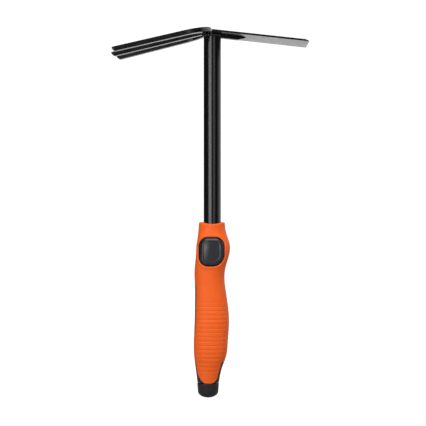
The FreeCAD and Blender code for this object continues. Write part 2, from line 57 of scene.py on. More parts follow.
tube_low, tube_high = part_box("shaft_tube")
SHAFT_X = (tube_low.x + tube_high.x) / 2 / MM
TUBE_RADIUS = (tube_high.x - tube_low.x) / 2 / MM
TUBE_FOOT = tube_low.z / MM
TUBE_WALL = 1.5

# The handle's sections from tail to mouth: height, centre in X, half width, half depth, squareness
STATIONS = np.array(
    [
        (15.5, -4.3, 11.4, 11.3, 2.0),
        (31.0, -3.6, 14.0, 13.2, 2.2),
        (43.0, -2.2, 16.8, 15.4, 2.3),
        (58.0, -1.5, 17.8, 16.3, 2.4),
        (79.0, -0.5, 18.0, 16.5, 2.4),
        (100.0, -1.2, 16.9, 15.7, 2.3),
        (117.0, -2.5, 15.7, 15.0, 2.3),
        (131.0, -2.7, 15.8, 15.4, 2.5),
        (146.0, -0.1, 17.1, 16.6, 3.2),
        (158.0, 1.0, 17.3, 16.4, 3.0),
        (172.0, -0.2, 14.4, 14.0, 2.2),
        (182.0, -0.4, 13.4, 13.2, 2.0),
    ]
)
TAIL_FOOT, MOUTH_TOP = STATIONS[0, 0], STATIONS[-1, 0]
MOUTH_DIP = 1.9
LIP_ROUND, LIP_INNER_ROUND, LIP_FLOOR = 1.4, 0.4, 180.0
LIP_BORE = 9.4
SKIN, SKIN_EDGE = 1.8, 0.7
SWELL, SWELL_INSET, SWELL_WIDTH, SWELL_REACH = 0.35, 1.5, 0.9, 6.0

BUTTON_CENTRE, BUTTON_HEIGHT = -0.75, 151.5
BUTTON_HALF, BUTTON_CORNER, BUTTON_LOW_CORNER = (12.5, 14.1), 8.5, 11.5
BUTTON_GAP, BEZEL_WALL = 0.35, 0.7
BUTTON_PROUD, BUTTON_BACK, BUTTON_CLEAR = 0.9, 12.7, 13.35
BEZEL_BACK = 9.8
WINDOW_GROW = BUTTON_GAP + BEZEL_WALL
PALM_FOOT, PALM_TOP, PALM_HALF, PALM_SIDE = 64.5, 121.0, 6.75, -5.0
TONGUE_CENTRE, TONGUE_TOP, TONGUE_HALF, TONGUE_LENGTH = -3.9, 33.0, 12.8, 18.8
TAIL_TOP, TAIL_BLEND = 37.0, 2.5

RIB_PITCH, RIB_FIRST, RIB_LAST = 4.47, 27.8, 103.8
RIB_WIDTH, RIB_DEPTH, RIB_CROWN = 2.2, 0.18, 0.04
RIB_FADE_START, RIB_FADE_END = math.radians(38), math.radians(46)

HUGE = 1000.0


# Shapes ---------------------------------------------------------------------------------------------------


def to_row(points):
    """Points about the shaft's axis in millimetres, in the frame's own metres."""
    return (np.asarray(points, float) + (SHAFT_X, 0, 0)) * MM


def natural_spline(knots, values):
    """A smooth curve through rows of values, one row at each knot."""
    gaps = np.diff(knots)
    matrix = np.eye(len(knots))
    right = np.zeros_like(values)
    for k in range(1, len(knots) - 1):
        matrix[k, k - 1 : k + 2] = gaps[k - 1], 2 * (gaps[k - 1] + gaps[k]), gaps[k]
        right[k] = 6 * ((values[k + 1] - values[k]) / gaps[k] - (values[k] - values[k - 1]) / gaps[k - 1])
    bends = np.linalg.solve(matrix, right)

    def at(place):
        place = np.asarray(place, float)
        k = np.clip(np.searchsorted(knots, place) - 1, 0, len(knots) - 2)
        gap = gaps[k][..., None]
        after = (place - knots[k])[..., None] / gap
        before = 1 - after
        curve = before * values[k] + after * values[k + 1]
        return curve + ((before**3 - before) * bends[k] + (after**3 - after) * bends[k + 1]) * gap**2 / 6

    return at


handle_section = natural_spline(STATIONS[:, 0], STATIONS[:, 1:])


def handle_point(turn, height):
    """The point of the handle's form at a turn about its middle, where 0 is +X and a quarter turn is +Y."""
    centre, wide, deep, square = np.moveaxis(handle_section(height), -1, 0)
    across, back = np.cos(turn), np.sin(turn)
    reach = (np.abs(across / wide) ** square + np.abs(back / deep) ** square) ** (-1 / square)
    return np.stack([centre + reach * across, reach * back, height + 0 * turn], -1)


def handle_normal(turn, height):
    """The outward unit normal of the handle's form."""
    step = 0.01
    around = handle_point(turn + step, height) - handle_point(turn - step, height)
    up = handle_point(turn, height + step) - handle_point(turn, height - step)
    normal = np.cross(around, up)
    return normal / np.linalg.norm(normal, axis=-1, keepdims=True)


def front_face(x, z):
    """How far in Y the handle's front lies at x and z."""
    centre, wide, deep, square = np.moveaxis(handle_section(z), -1, 0)
    share = np.clip(np.abs((x - centre) / wide) ** square, 0, 0.999)
    return -deep * (1 - share) ** (1 / square)


def smooth_step(low, high, value):
    """Rises from 0 at low to 1 at high, level at both ends."""
    share = np.clip((value - low) / (high - low), 0, 1)
    return share * share * (3 - 2 * share)


def smooth_max(first, second, width):
    """The larger of two fields, with the crease between them rounded."""
    blend = np.clip(0.5 + (first - second) / (2 * width), 0, 1)
    return second + (first - second) * blend + width * blend * (1 - blend)


def outside_window(x, z, grow=0.0):
    """Distance outside the rounded rectangle round the button, below 0 inside it."""
    low = (x > BUTTON_CENTRE) & (z < BUTTON_HEIGHT)
    corner = np.where(low, BUTTON_LOW_CORNER, BUTTON_CORNER) + grow
    right = np.abs(x - BUTTON_CENTRE) - (BUTTON_HALF[0] + grow - corner)
    up = np.abs(z - BUTTON_HEIGHT) - (BUTTON_HALF[1] + grow - corner)
    outer = np.hypot(np.maximum(right, 0), np.maximum(up, 0))
    return outer + np.minimum(np.maximum(right, up), 0) - corner


def outside_bezel(point):
    """Distance outside the window that the bezel lines, which is at the front only."""
    return np.where(point[..., 1] < 0, outside_window(point[..., 0], point[..., 2], WINDOW_GROW), HUGE)


def outside_palm(point):
    """Distance outside the upright slot on the -X side, where the core shows through the skin."""
    middle, half = (PALM_FOOT + PALM_TOP) / 2, (PALM_TOP - PALM_FOOT) / 2 - PALM_HALF
    up = np.maximum(np.abs(point[..., 2] - middle) - half, 0)
    slot = np.hypot(point[..., 1], up) - PALM_HALF
    return np.where(point[..., 0] < PALM_SIDE, slot, HUGE)


def inside_tongue(point):
    """Distance inside the skin's lower edge: a tongue at the front and the back, an arch at each side."""
    across = (point[..., 0] - TONGUE_CENTRE) / TONGUE_HALF
    down = np.minimum(point[..., 2] - TONGUE_TOP, 0) / TONGUE_LENGTH
    ring = np.maximum(np.hypot(across, down), 1e-6)
    slope = np.hypot(across / TONGUE_HALF, down / TONGUE_LENGTH) / ring
    return smooth_max((1 - ring) / np.maximum(slope, 1 / HUGE), point[..., 2] - TAIL_TOP, TAIL_BLEND)


def inside_skin(point):
    """Distance inside the orange skin's edges."""
    return np.minimum(np.minimum(outside_bezel(point), outside_palm(point)), inside_tongue(point))


def behind_window(outer, inner, depth):
    """Inner points of a wall, moved so that the wall's edge round the button's window runs straight back."""
    near = 1 - smooth_step(0.3, 4.0, outside_bezel(outer))
    return inner + near[..., None] * (outer + (0, depth, 0) - inner)


def edge_drop(distance, radius):
    """How far a rounded edge of that radius has fallen at a distance inside it."""
    gap = np.clip(radius - distance, 0, radius)
    return radius - np.sqrt(radius**2 - gap**2)


def grooves(turn, point):
    """The finger ribs: how far the skin sinks in their grooves, and swells a little between them."""
    height = point[..., 2]
    number = np.round((height - RIB_FIRST) / RIB_PITCH)
    away = height - RIB_FIRST - number * RIB_PITCH
    groove = np.where(np.abs(away) < RIB_WIDTH / 2, 0.5 + 0.5 * np.cos(TAU * away / RIB_WIDTH), 0)
    crown = np.cos(math.pi * away / RIB_PITCH) ** 2
    wrapped = np.abs((turn % TAU) - math.pi)
    panel = smooth_step(RIB_FADE_START, RIB_FADE_END, wrapped)
    panel = panel * smooth_step(1.2, 2.6, inside_tongue(point))
    panel = panel * (1 - smooth_step(RIB_LAST - 2.5 * RIB_PITCH, RIB_LAST + 0.5 * RIB_PITCH, height))
    panel = panel * smooth_step(RIB_FIRST - 0.7 * RIB_PITCH, RIB_FIRST - 0.3 * RIB_PITCH, height)
    return panel * (RIB_DEPTH * groove + RIB_CROWN * crown)


# Meshes ---------------------------------------------------------------------------------------------------


def add_object(name, data):
    """A new object in the scene that shows the data."""
    piece = bpy.data.objects.new(name, data)
    bpy.context.scene.collection.objects.link(piece)
    return piece


def face_outward(mesh):
    """Turns a closed mesh's faces round if they look inward."""
    shape = bmesh.new()
    shape.from_mesh(mesh)
    if shape.calc_volume(signed=True) < 0:
        bmesh.ops.reverse_faces(shape, faces=shape.faces)
        shape.to_mesh(mesh)
    shape.free()


def add_piece(name, points, faces, body, slot, *nodes, sharp=35.0):
    """Makes a mesh piece that rides on a body, stands for CAD nodes and takes a slot's material."""
    mesh = bpy.data.meshes.new(name)
    mesh.from_pydata(to_row(points).tolist(), [], faces)
    mesh.validate()
    face_outward(mesh)
    mesh.shade_smooth()
    mesh.set_sharp_from_angle(angle=math.radians(sharp))
    piece = add_object(name, mesh)
    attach(piece, body)
    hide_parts(*nodes)
    mesh.materials.append(MATERIALS[slot])
    piece.modifiers.new("flat faces shade flat", "WEIGHTED_NORMAL").keep_sharp = True


def cut_cell(corners, values, crossing):
    """The part of a cell where the field is positive, as corner indexes."""
    kept = []
    for k, corner in enumerate(corners):
        after = corners[(k + 1) % len(corners)]
        here, there = values[corner], values[after]
        if here >= 0:
            kept.append(corner)
        if (here > 0) != (there > 0) and here * there < 0:
            kept.append(crossing(corner, after, here / (here - there)))
    return kept


def clipped_band(turns, rows, closed, field):
    """A grid of cells over turns and rows, cut cleanly along field(turn, row) = 0 and kept above it.

    Returns each corner's turn and row, and the cells. A closed band joins its last turn to its first.
    """
    count, height = len(turns), len(rows)
    turn, row = (axis.ravel() for axis in np.meshgrid(turns, rows, indexing="ij"))
    value = field(turn, row)
    places = [list(turn), list(row)]
    crossings = {}

    def crossing(first, second, share):
        key = (min(first, second), max(first, second))
        if key not in crossings:
            crossings[key] = len(places[0])
            span = (places[0][second] - places[0][first] + math.pi) % TAU - math.pi
            places[0].append(places[0][first] + share * span)
            places[1].append(places[1][first] + share * (places[1][second] - places[1][first]))
        return crossings[key]

    cells = []
    for i in range(count if closed else count - 1):
        left, right = i * height, (i + 1) % count * height
        for j in range(height - 1):
            corners = (left + j, right + j, right + j + 1, left + j + 1)
            inside = [value[corner] >= 0 for corner in corners]
            if all(inside):
                cells.append(corners)
            elif any(inside):
                kept = cut_cell(corners, value, crossing)
                if len(kept) > 2:
                    cells.append(tuple(kept))
    used = sorted({corner for cell in cells for corner in cell})
    number = {corner: k for k, corner in enumerate(used)}
    places = np.array(places)[:, used]
    return places[0], places[1], [tuple(number[corner] for corner in cell) for cell in cells]


def walled(outer, inner, cells):
    """Closes a sheet of cells into a solid: outer points, inner points and a wall along every edge."""
    count = len(outer)
    single = {}
    for cell in cells:
        for first, second in zip(cell, cell[1:] + cell[:1]):
            if (second, first) in single:
                del single[second, first]
            else:
                single[first, second] = True
    walls = [(second, first, first + count, second + count) for first, second in single]
    backs = [tuple(corner + count for corner in reversed(cell)) for cell in cells]
    return np.concatenate([outer, inner]), list(cells) + backs + walls


def spaced(*stretches):
    """Rows from (start, end, step) stretches that follow each other."""
    rows = [stretches[0][0]]
    for start, end, step in stretches:
        count = max(1, round(abs(end - start) / step))
        rows.extend(start + (end - start) * (k + 1) / count for k in range(count))
    return np.array(rows)


def revolve(profile, count, centre=(0.0, 0.0)):
    """Turns a profile of (radius, height) about an upright axis; an end at radius 0 closes to a point."""
    points, rings = [], []
    for radius, height in profile:
        ring = []
        for k in range(count if radius > 0 else 1):
            turn = TAU * k / count
            ring.append(len(points))
            points.append((centre[0] + radius * math.cos(turn), centre[1] + radius * math.sin(turn), height))
        rings.append(ring)
    faces = []
    for lower, upper in zip(rings, rings[1:]):
        for k in range(count):
            after = (k + 1) % count
            below = lower[k % len(lower)], lower[after % len(lower)]
            above = upper[after % len(upper)], upper[k % len(upper)]
            faces.append(tuple(dict.fromkeys(below + above)))
    return points, faces


def ring_faces(rings, size):
    """Quads between rings of equal size, which follow each other in the point list."""
    faces = []
    for k in range(rings - 1):
        for j in range(size):
            after = (j + 1) % size
            faces.append((k * size + j, k * size + after, (k + 1) * size + after, (k + 1) * size + j))
    return faces


def rounded_ring(half, top, foot, radius, steps=4):
    """A rectangle's outline with rounded corners, as (across, up) pairs."""
    radius = min(radius, 0.49 * (top - foot), 0.98 * half)
    middles = (
        (half - radius, foot + radius, -90),
        (half - radius, top - radius, 0),
        (radius - half, top - radius, 90),
        (radius - half, foot + radius, 180),
    )
    ring = []
    for across, up, start in middles:
        for k in range(steps):
            angle = math.radians(start + 90 * k / (steps - 1))
            ring.append((across + radius * math.cos(angle), up + radius * math.sin(angle)))
    return ring


def sweep(stations, radius, draft=0.0):
    """A bar through stations of (point, side direction, half width, top, foot), with rounded long edges.

    A draft leans its sides in towards the top, by that many degrees.
    """
    points = []
    for place, side, half, top, foot in stations:
        for across, up in rounded_ring(half, top, foot, radius):
            across -= math.copysign(math.tan(math.radians(draft)) * (up - foot), across)
            points.append((place[0] + across * side[0], place[1] + across * side[1], up))
    size = len(points) // len(stations)
    faces = ring_faces(len(stations), size)
    faces.append(tuple(reversed(range(size))))
    faces.append(tuple(range(len(points) - size, len(points))))
    return points, faces


def tilted(points, slope, height):
    """Points drawn flat, tilted about Y and lifted onto the shaft's axis."""
    points = np.asarray(points, float)
    sine, cosine = math.sin(math.radians(slope)), math.cos(math.radians(slope))
    x = cosine * points[:, 0] + sine * points[:, 2]
    z = -sine * points[:, 0] + cosine * points[:, 2]
    return np.stack([x, points[:, 1], z + height], -1)


# Materials ------------------------------------------------------------------------------------------------


class Finish:
    """A procedural material built round one Principled shader."""

    def __init__(self, name, color, roughness, **sockets):
        self.material = bpy.data.materials.new(name)
        self.material.use_nodes = True
        self.tree = self.material.node_tree
        self.shader = self.tree.nodes["Principled BSDF"]
        self.shader.inputs["Base Color"].default_value = (*color, 1)
        self.shader.inputs["Roughness"].default_value = roughness
        for socket, value in sockets.items():
            self.shader.inputs[socket.replace("_", " ")].default_value = value
        self.place = self.node("ShaderNodeTexCoord").outputs["Object"]
        self.bumps = None

    def node(self, kind, **settings):
        node = self.tree.nodes.new(kind)
        for key, value in settings.items():
            setattr(node, key, value)
        return node

    def link(self, start, end):
        self.tree.links.new(start, end)

    def noise(self, size, detail=2.0, stretch=(1, 1, 1)):
        """Noise whose grains are about that many millimetres across."""
        mapping = self.node("ShaderNodeMapping")
        mapping.inputs["Scale"].default_value = [axis / (size * MM) for axis in stretch]
        self.link(self.place, mapping.inputs["Vector"])
        noise = self.node("ShaderNodeTexNoise")
        noise.inputs["Scale"].default_value = 1.0
        noise.inputs["Detail"].default_value = detail
        self.link(mapping.outputs["Vector"], noise.inputs["Vector"])
        return noise.outputs["Fac"]

    def cells(self, size):
        """Rounded cells of about that many millimetres, as a spark-eroded mould leaves."""
        voronoi = self.node("ShaderNodeTexVoronoi", feature="SMOOTH_F1")
        voronoi.inputs["Scale"].default_value = 1 / (size * MM)
        self.link(self.place, voronoi.inputs["Vector"])
        return voronoi.outputs["Distance"]

    def ranged(self, value, low, high, start=0.3, end=0.7):
        node = self.node("ShaderNodeMapRange")
        node.inputs["From Min"].default_value = start
        node.inputs["From Max"].default_value = end
        node.inputs["To Min"].default_value = low
        node.inputs["To Max"].default_value = high
        self.link(value, node.inputs["Value"])
        return node.outputs["Result"]

    def vary_roughness(self, value, low, high):
        self.link(self.ranged(value, low, high), self.shader.inputs["Roughness"])

    def vary_color(self, value, first, second, start=0.3, end=0.7):
        mix = self.node("ShaderNodeMix", data_type="RGBA")
        mix.inputs["A"].default_value = (*first, 1)
        mix.inputs["B"].default_value = (*second, 1)
        self.link(self.ranged(value, 0, 1, start, end), mix.inputs["Factor"])
        self.link(mix.outputs["Result"], self.shader.inputs["Base Color"])

    def bump(self, value, depth, strength=1.0):
        """Adds relief that many millimetres deep."""
        node = self.node("ShaderNodeBump")
        node.inputs["Distance"].default_value = depth * MM
        node.inputs["Strength"].default_value = strength
        self.link(value, node.inputs["Height"])
        if self.bumps is not None:
            self.link(self.bumps, node.inputs["Normal"])
        self.bumps = node.outputs["Normal"]
        self.link(self.bumps, self.shader.inputs["Normal"])


def black_paint():
    """Semi-gloss powder coat: black, faintly orange-peeled, a little uneven in gloss."""
    finish = Finish("black_paint", (0.003, 0.003, 0.0035), 0.21)
    finish.vary_roughness(finish.noise(9, 3), 0.19, 0.24)
    finish.vary_color(finish.noise(2.5, 3), (0.0025, 0.0025, 0.003), (0.004, 0.004, 0.0045))
    finish.bump(finish.noise(1.6, 1), 0.003)
    return finish.material


def orange_grip():
    """Matte thermoplastic rubber with a fine moulded grain."""
    finish = Finish("orange_grip", (0.88, 0.12, 0.008), 0.56, Specular_IOR_Level=0.3)
    finish.vary_roughness(finish.noise(7, 3), 0.52, 0.6)
    finish.vary_color(finish.noise(12, 4), (0.86, 0.115, 0.007), (0.9, 0.125, 0.009))
    finish.bump(finish.cells(0.42), 0.02)
    return finish.material


def black_nylon():
    """Fine-grained moulded nylon."""
    finish = Finish("black_nylon", (0.016, 0.0155, 0.02), 0.34, Specular_IOR_Level=0.25)
    finish.vary_roughness(finish.noise(5, 3), 0.31, 0.38)
    finish.vary_color(finish.noise(3, 3), (0.015, 0.0145, 0.019), (0.018, 0.0175, 0.022))
    finish.bump(finish.cells(0.3), 0.01)
    return finish.material


def black_button():
    """Satin plastic, smoother than the handle's core."""
    finish = Finish("black_button", (0.012, 0.013, 0.017), 0.32)
    finish.vary_roughness(finish.noise(4, 3), 0.28, 0.36)
    finish.vary_color(finish.noise(3, 2), (0.011, 0.012, 0.016), (0.014, 0.015, 0.019))
    finish.bump(finish.cells(0.25), 0.005)
    return finish.material


def bush_plastic():
    """Natural acetal, waxy and faintly translucent."""
    finish = Finish("bush_plastic", (0.75, 0.74, 0.7), 0.35, Subsurface_Weight=0.1, Subsurface_Scale=0.001)
    finish.vary_roughness(finish.noise(2, 3), 0.3, 0.4)
    finish.bump(finish.noise(0.2, 1, (1, 1, 6)), 0.004)
    return finish.material


def steel(name, color, low, high, stretch):
    """Bare or plated metal with a drawn grain."""
    finish = Finish(name, color, low, Metallic=1.0)
    grain = finish.noise(0.25, 3, stretch)
    finish.vary_roughness(grain, low, high)
    finish.bump(grain, 0.002)
    return finish.material


def seal_rubber():
    finish = Finish("seal_rubber", (0.03, 0.03, 0.03), 0.6)
    finish.vary_roughness(finish.noise(1.5, 3), 0.55, 0.68)
    finish.bump(finish.noise(0.3, 2), 0.01)
    return finish.material


MATERIALS = {
    "black_paint": black_paint(),
    "orange_grip": orange_grip(),
    "black_nylon": black_nylon(),
    "black_button": black_button(),
    "bush_plastic": bush_plastic(),
    "spring_steel": steel("spring_steel", (0.5, 0.5, 0.52), 0.2, 0.34, (1, 1, 0.05)),
    "plated_steel": steel("plated_steel", (0.62, 0.62, 0.6), 0.24, 0.4, (1, 1, 0.3)),
    "seal_rubber": seal_rubber(),
}


# Handle ---------------------------------------------------------------------------------------------------

BLEND_TOP = 60.0  # below this, the skin's rows spread out to follow its lower edge
BODY_TOP = 180.0  # the row where the skin's rounded rim begins


def lowest_skin(turn):
    """The height of the skin's lower edge at each turn."""
    turns = np.linspace(0, TAU, 361)
    heights = np.linspace(TAIL_FOOT, TAIL_TOP + 4, 300)
    grid_turn, grid_height = np.meshgrid(turns, heights, indexing="ij")
    field = inside_tongue(handle_point(grid_turn, grid_height))
    edges = []
    for column in field:
        outside = np.nonzero(column < 0)[0]
        if len(outside) == 0:
            edges.append(heights[0])
            continue
        k = outside[-1]
        share = column[k] / (column[k] - column[k + 1])
        edges.append(heights[k] + share * (heights[k + 1] - heights[k]))
    return np.interp(np.asarray(turn) % TAU, turns, edges)


def mouth_height(turn):
    """The rim dips at the front and the back."""
    return MOUTH_TOP - MOUTH_DIP * np.sin(turn) ** 2


def rim_floor(turn):
    return LIP_FLOOR - (MOUTH_DIP / 2) * np.sin(turn) ** 2


def skin_height(turn, row):
    """Spreads the body's rows between the skin's lower edge and the start of the rounded rim."""
    foot = lowest_skin(turn)
    low = foot + (row - TAIL_FOOT) * (BLEND_TOP - foot) / (BLEND_TOP - TAIL_FOOT)
    rim = mouth_height(turn) - LIP_ROUND
    high = BLEND_TOP + (row - BLEND_TOP) * (rim - BLEND_TOP) / (BODY_TOP - BLEND_TOP)
    return np.where(row < BLEND_TOP, low, high)


def rim_path(share, length):
    """How far in towards the bore and how far up the rim's outline is, for share from 0 to 4."""
    quarter = math.pi / 2
    outer = np.clip(share, 0, 1) * quarter
    flat = np.clip(share - 1, 0, 1)
    inner = np.clip(share - 2, 0, 1) * quarter
    inward = LIP_ROUND * (1 - np.cos(outer)) + flat * (length - LIP_ROUND - LIP_INNER_ROUND)
    inward = inward + LIP_INNER_ROUND * np.sin(inner)
    up = LIP_ROUND * np.sin(outer) - LIP_ROUND - LIP_INNER_ROUND * (1 - np.cos(inner))
    return inward, up


def skin_outer(turn, row):
    """The skin's face, with a low swell round the button. Rows past BODY_TOP follow the rim to the bore."""
    body = np.minimum(row, BODY_TOP)
    share = np.maximum(row - BODY_TOP, 0)
    height = skin_height(turn, body)
    point = handle_point(turn, height)
    distance = inside_skin(point)
    swell = SWELL * np.exp(-(((distance - SWELL_INSET) / SWELL_WIDTH) ** 2)) * (point[..., 1] < 0)
    swell = swell * (outside_window(point[..., 0], point[..., 2]) < SWELL_REACH)
    offset = swell - grooves(turn, point) - edge_drop(distance, SKIN_EDGE)
    point = point + offset[..., None] * handle_normal(turn, height)
    bore = np.stack([LIP_BORE * np.cos(turn), LIP_BORE * np.sin(turn)], -1)
    length = np.linalg.norm(point[..., :2] - bore, axis=-1)
    inward, up = rim_path(share, length)
    flat = point[..., :2] + (bore - point[..., :2]) * (inward / length)[..., None]
    rim = mouth_height(turn) + up
    rim = rim + np.clip(share - 3, 0, 1) * (rim_floor(turn) + 0.05 - rim)
    return np.concatenate([flat, np.where(share > 0, rim, point[..., 2])[..., None]], -1)


def skin_inner(turn, row):
    """The skin's back. Its rows past BODY_TOP lie against the core's top, under the rim."""
    body = np.minimum(row, BODY_TOP)
    share = np.maximum(row - BODY_TOP, 0)
    height = np.minimum(skin_height(turn, body), LIP_FLOOR - 2)
    point = handle_point(turn, height) - SKIN * handle_normal(turn, height)
    bore = np.stack([LIP_BORE * np.cos(turn), LIP_BORE * np.sin(turn)], -1)
    inward = np.clip((share - 1) / 3, 0, 1)[..., None]
    flat = point[..., :2] * (1 - inward) + bore * inward
    rise = np.clip(share, 0, 1) * (rim_floor(turn) - point[..., 2])
    inner = np.concatenate([flat, (point[..., 2] + rise)[..., None]], -1)
    return behind_window(skin_outer(turn, row), inner, SKIN)


def make_skin():
    """The orange skin: ribbed, with rounded edges round its windows, a tongue front and back, and a rim."""
    turns = np.arange(176) * TAU / 176
    rows = spaced(
        (TAIL_FOOT, TAIL_FOOT + 1.2, 0.2),
        (TAIL_FOOT + 1.2, RIB_LAST, RIB_PITCH / 11),
        (RIB_LAST, 132.0, 1.3),
        (132.0, 138.0, 0.4),
        (138.0, 163.0, 0.7),
        (163.0, 170.0, 0.4),
        (170.0, BODY_TOP, 1.25),
        (BODY_TOP, BODY_TOP + 1, 0.2),
        (BODY_TOP + 1, BODY_TOP + 2, 0.5),
        (BODY_TOP + 2, BODY_TOP + 3, 0.34),
        (BODY_TOP + 3, BODY_TOP + 4, 1.0),
    )

    def field(turn, row):
        point = handle_point(turn, skin_height(turn, np.minimum(row, BODY_TOP)))
        return np.minimum(outside_bezel(point), outside_palm(point))

    turn, row, cells = clipped_band(turns, rows, True, field)
    points, faces = walled(skin_outer(turn, row), skin_inner(turn, row), cells)
    add_piece("grip_skin_moulded", points, faces, "handle", "orange_grip", "grip_skin", sharp=50)


CORE_SUNK, CORE_GAP, CORE_EDGE, CORE_WALL, CORE_CLEAR = 0.1, 0.05, 0.5, 2.6, 10.6
SEAM_DEPTH, SEAM_HALF = 0.25, 0.35


def core_outer(turn, row):
    """The core lies under the skin, and comes up through it on the palm's side and at the tail."""
    point = handle_point(turn, row)
    shown = 1 - smooth_step(0.1, 0.5, inside_skin(point))
    shown = np.where(outside_bezel(point) < 3, 0, shown)
    seam = SEAM_DEPTH * np.clip(1 - np.abs(point[..., 1]) / SEAM_HALF, 0, 1)
    rounded = edge_drop(row - TAIL_FOOT, CORE_EDGE)
    offset = -(SKIN + CORE_GAP) + shown * (SKIN + CORE_GAP - CORE_SUNK) - seam - rounded
    return point + offset[..., None] * handle_normal(turn, row)


def core_inner(turn, row):
    """The core's back, which leaves the shaft's bore clear above the grip's middle."""
    point = handle_point(turn, row) - (SKIN + CORE_WALL) * handle_normal(turn, row)
    radius = np.hypot(point[..., 0], point[..., 1])
    grow = np.where(row > BLEND_TOP + 30, np.maximum(CORE_CLEAR / radius, 1), 1)
    inner = np.stack([point[..., 0] * grow, point[..., 1] * grow, row], -1)
    return behind_window(core_outer(turn, row), inner, CORE_WALL)


def make_core():
    """The two black half shells under the skin, parted in the middle."""
    rows = spaced(
        (TAIL_FOOT, TAIL_FOOT + 0.8, 0.2),
        (TAIL_FOOT + 0.8, 42.0, 0.5),
        (42.0, 62.0, 2.0),
        (62.0, 72.0, 0.5),
        (72.0, 114.0, 2.0),
        (114.0, 124.0, 0.5),
        (124.0, LIP_FLOOR, 2.0),
    )

    def field(turn, row):
        return outside_bezel(core_outer(turn, row))

    near_seam = spaced(
        (0.001, 0.03, 0.006),
        (0.03, 0.5, 0.03),
        (0.5, 2.64, 0.06),
        (2.64, 3.11, 0.03),
        (3.11, math.pi - 0.001, 0.006),
    )
    for name, turns in (("front_shell", near_seam + math.pi), ("back_shell", near_seam)):
        turn, row, cells = clipped_band(turns, rows, False, field)
        points, faces = walled(core_outer(turn, row), core_inner(turn, row), cells)
        add_piece(name + "_moulded", points, faces, "handle", "black_nylon", name)


POMMEL_TOP, POMMEL_RADIUS, POMMEL_BELLY, POMMEL_BELLY_RADIUS, POMMEL_FLAT = 14.9, 11.4, 6.2, 10.7, 3.7
PLUG_TOP, PLUG_RADIUS, PLUG_CHAMFER = 26.0, 7.0, 0.5


def make_pommel():
    """The domed end cap: a short straight side, a dome and a small flat to stand on."""
    dome = POMMEL_BELLY / math.sqrt(1 - (POMMEL_FLAT / POMMEL_BELLY_RADIUS) ** 2)
    profile = [(0, 0), (POMMEL_FLAT * 0.9, 0)]
    steps = 22
    last = math.asin(POMMEL_BELLY / dome)
    for k in range(steps + 1):
        angle = -last * (1 - k / steps)
        profile.append((POMMEL_BELLY_RADIUS * math.cos(angle), POMMEL_BELLY + dome * math.sin(angle)))
    side_steps, lip = 5, 0.7
    for k in range(1, side_steps + 1):
        share = k / side_steps
        height = POMMEL_BELLY + share * (POMMEL_TOP - lip - POMMEL_BELLY)
        profile.append((POMMEL_BELLY_RADIUS + share * (POMMEL_RADIUS - POMMEL_BELLY_RADIUS), height))
    for k in range(1, 6):
        angle = math.radians(18 * k)
        drawn = lip * (1 - math.cos(angle))
        profile.append((POMMEL_RADIUS - drawn, POMMEL_TOP - lip + lip * math.sin(angle)))
    profile += [(PLUG_RADIUS, POMMEL_TOP), (PLUG_RADIUS, PLUG_TOP - PLUG_CHAMFER)]
    profile += [(PLUG_RADIUS - PLUG_CHAMFER, PLUG_TOP), (0, PLUG_TOP)]
    points, faces = revolve(profile, 120, (-SHAFT_X, 0))
    add_piece("pommel_cap_moulded", points, faces, "handle", "black_nylon", "pommel_cap")


# Button ---------------------------------------------------------------------------------------------------


def window_outline(grow, steps=14, straight=5):
    """Points round the button's rounded rectangle, in X and Z about its centre."""
    right, up = BUTTON_HALF[0] + grow, BUTTON_HALF[1] + grow
    low_corner, corner = BUTTON_LOW_CORNER + grow, BUTTON_CORNER + grow
    outline = []
    corners = ((1, -1, -90, low_corner), (1, 1, 0, corner), (-1, 1, 90, corner), (-1, -1, 180, corner))
    for x, z, start, radius in corners:
        for j in range(steps + 1):
            angle = math.radians(start + 90 * j / steps)
            middle = (x * (right - radius), z * (up - radius))
            outline.append((middle[0] + radius * math.cos(angle), middle[1] + radius * math.sin(angle)))
    filled = []
    for k, here in enumerate(outline):
        filled.append(here)
        after = outline[(k + 1) % len(outline)]
        if k % (steps + 1) == steps:
            for share in (j / straight for j in range(1, straight)):
                x = here[0] + share * (after[0] - here[0])
                filled.append((x, here[1] + share * (after[1] - here[1])))
    return np.array(filled)


BUTTON_CREST, BUTTON_RISE, BUTTON_DISH, BUTTON_EDGE = 3.0, 0.45, 0.55, 1.4
BUTTON_MIDDLE = 12.0  # how far in from its outline the button's innermost rings lie
PLUNGER_RADIUS, PLUNGER_LENGTH, PLUNGER_TIP, PLUNGER_ROUND = 2.6, 2.6, -11.95, 0.5


def button_face(x, z):
    """The button's face: it rounds up from its edge to a crest, and the middle is dished."""
    depth = -outside_window(x, z)
    rise = BUTTON_RISE * (1 - smooth_step(0, BUTTON_CREST, depth))
    crest = BUTTON_PROUD - edge_drop(depth, BUTTON_EDGE) - rise
    dish = BUTTON_DISH * smooth_step(BUTTON_CREST - 0.2, BUTTON_CREST + 1.6, depth)
    return front_face(x, z) - crest + dish


def button_back(x):
    """The button's back: flat at its sides, and hollowed along Z to clear the lock sleeve when pressed."""
    return -np.maximum(BUTTON_BACK, np.sqrt(np.maximum(BUTTON_CLEAR**2 - x**2, 0)))


